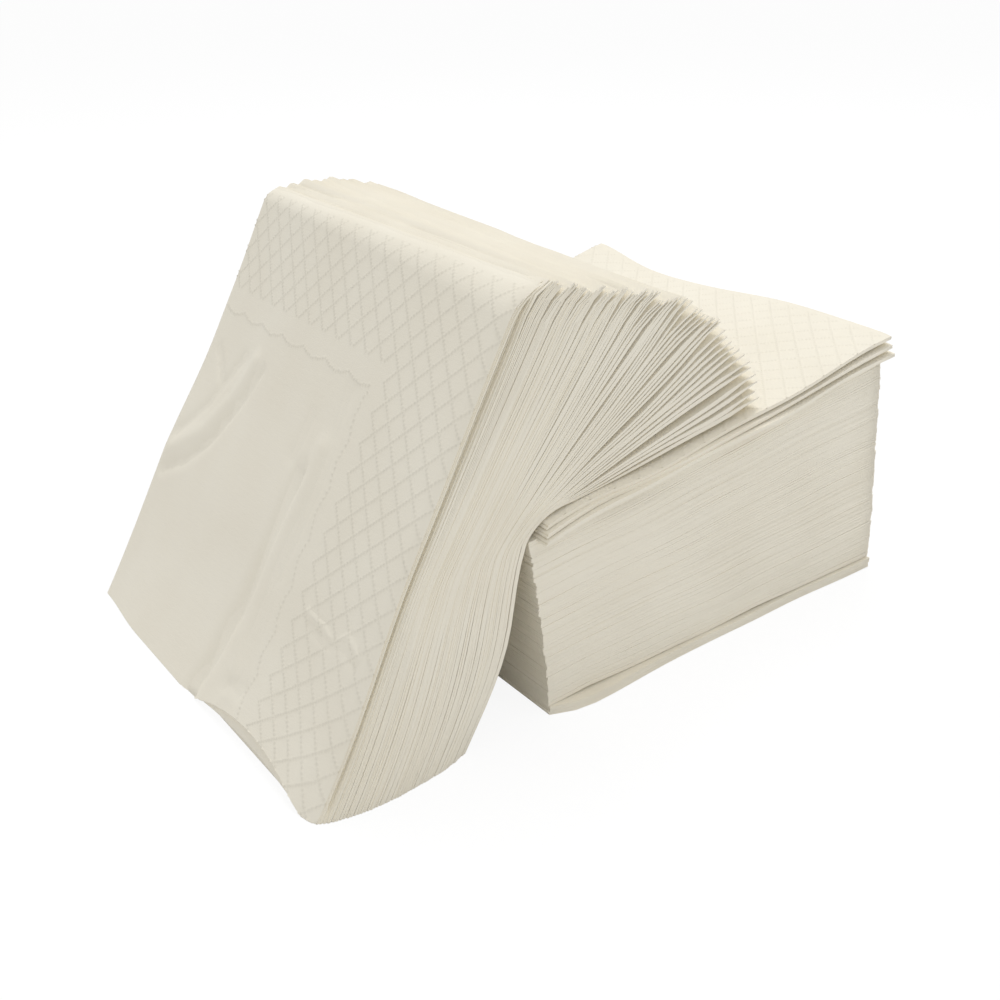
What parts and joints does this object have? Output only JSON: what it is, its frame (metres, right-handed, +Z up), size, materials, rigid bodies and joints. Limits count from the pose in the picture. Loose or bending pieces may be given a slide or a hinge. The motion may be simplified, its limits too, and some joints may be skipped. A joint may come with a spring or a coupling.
{
  "type": "stack of paper napkins",
  "caption": "Stack of quarter-folded paper napkins: one block lies flat, a second leans on it with its sheets bent over the edge and fanned at their tips.",
  "frame": {"origin": "middle of the base, halfway along and across the whole stack", "axes": "+X along the stack from the leaning block to the flat block, +Y away from the near side (the cut edges) to the far side (the second folds), +Z up"},
  "size_m": [0.1894, 0.125, 0.1094],
  "materials": {
    "napkin_paper": "matt two-ply tissue paper, ivory white, pin-embossed along the sheet's cut edges"
  },
  "bodies": {
    "root": {"flat_napkin_01": "napkin_paper", "flat_napkin_02": "napkin_paper", "flat_napkin_03": "napkin_paper", "flat_napkin_04": "napkin_paper", "flat_napkin_05": "napkin_paper", "flat_napkin_06": "napkin_paper", "flat_napkin_07": "napkin_paper", "flat_napkin_08": "napkin_paper", "flat_napkin_09": "napkin_paper", "flat_napkin_10": "napkin_paper", "flat_napkin_39": "napkin_paper", "flat_napkin_40": "napkin_paper", "flat_napkin_41": "napkin_paper", "flat_napkin_42": "napkin_paper", "flat_napkin_43": "napkin_paper", "flat_napkin_44": "napkin_paper", "flat_napkin_45": "napkin_paper", "flat_napkin_46": "napkin_paper", "flat_napkin_47": "napkin_paper", "flat_napkin_48": "napkin_paper", "flat_napkins_11_12": "napkin_paper", "flat_napkins_13_14": "napkin_paper", "flat_napkins_15_16": "napkin_paper", "flat_napkins_17_18": "napkin_paper", "flat_napkins_19_20": "napkin_paper", "flat_napkins_21_22": "napkin_paper", "flat_napkins_23_24": "napkin_paper", "flat_napkins_25_26": "napkin_paper", "flat_napkins_27_28": "napkin_paper", "flat_napkins_29_30": "napkin_paper", "flat_napkins_31_32": "napkin_paper", "flat_napkins_33_34": "napkin_paper", "flat_napkins_35_36": "napkin_paper", "flat_napkins_37_38": "napkin_paper", "leaning_napkin_01": "napkin_paper", "leaning_napkin_02": "napkin_paper", "leaning_napkin_03": "napkin_paper", "leaning_napkin_04": "napkin_paper", "leaning_napkin_05": "napkin_paper", "leaning_napkin_06": "napkin_paper", "leaning_napkin_07": "napkin_paper", "leaning_napkin_08": "napkin_paper", "leaning_napkin_09": "napkin_paper", "leaning_napkin_10": "napkin_paper", "leaning_napkin_11": "napkin_paper", "leaning_napkin_12": "napkin_paper", "leaning_napkin_13": "napkin_paper", "leaning_napkin_14": "napkin_paper", "leaning_napkin_15": "napkin_paper", "leaning_napkin_16": "napkin_paper", "leaning_napkin_17": "napkin_paper", "leaning_napkin_18": "napkin_paper", "leaning_napkin_19": "napkin_paper", "leaning_napkin_20": "napkin_paper", "leaning_napkin_21": "napkin_paper", "leaning_napkin_22": "napkin_paper", "leaning_napkin_23": "napkin_paper", "leaning_napkin_24": "napkin_paper", "leaning_napkin_25": "napkin_paper", "leaning_napkin_26": "napkin_paper"}
  },
  "joints": []
}
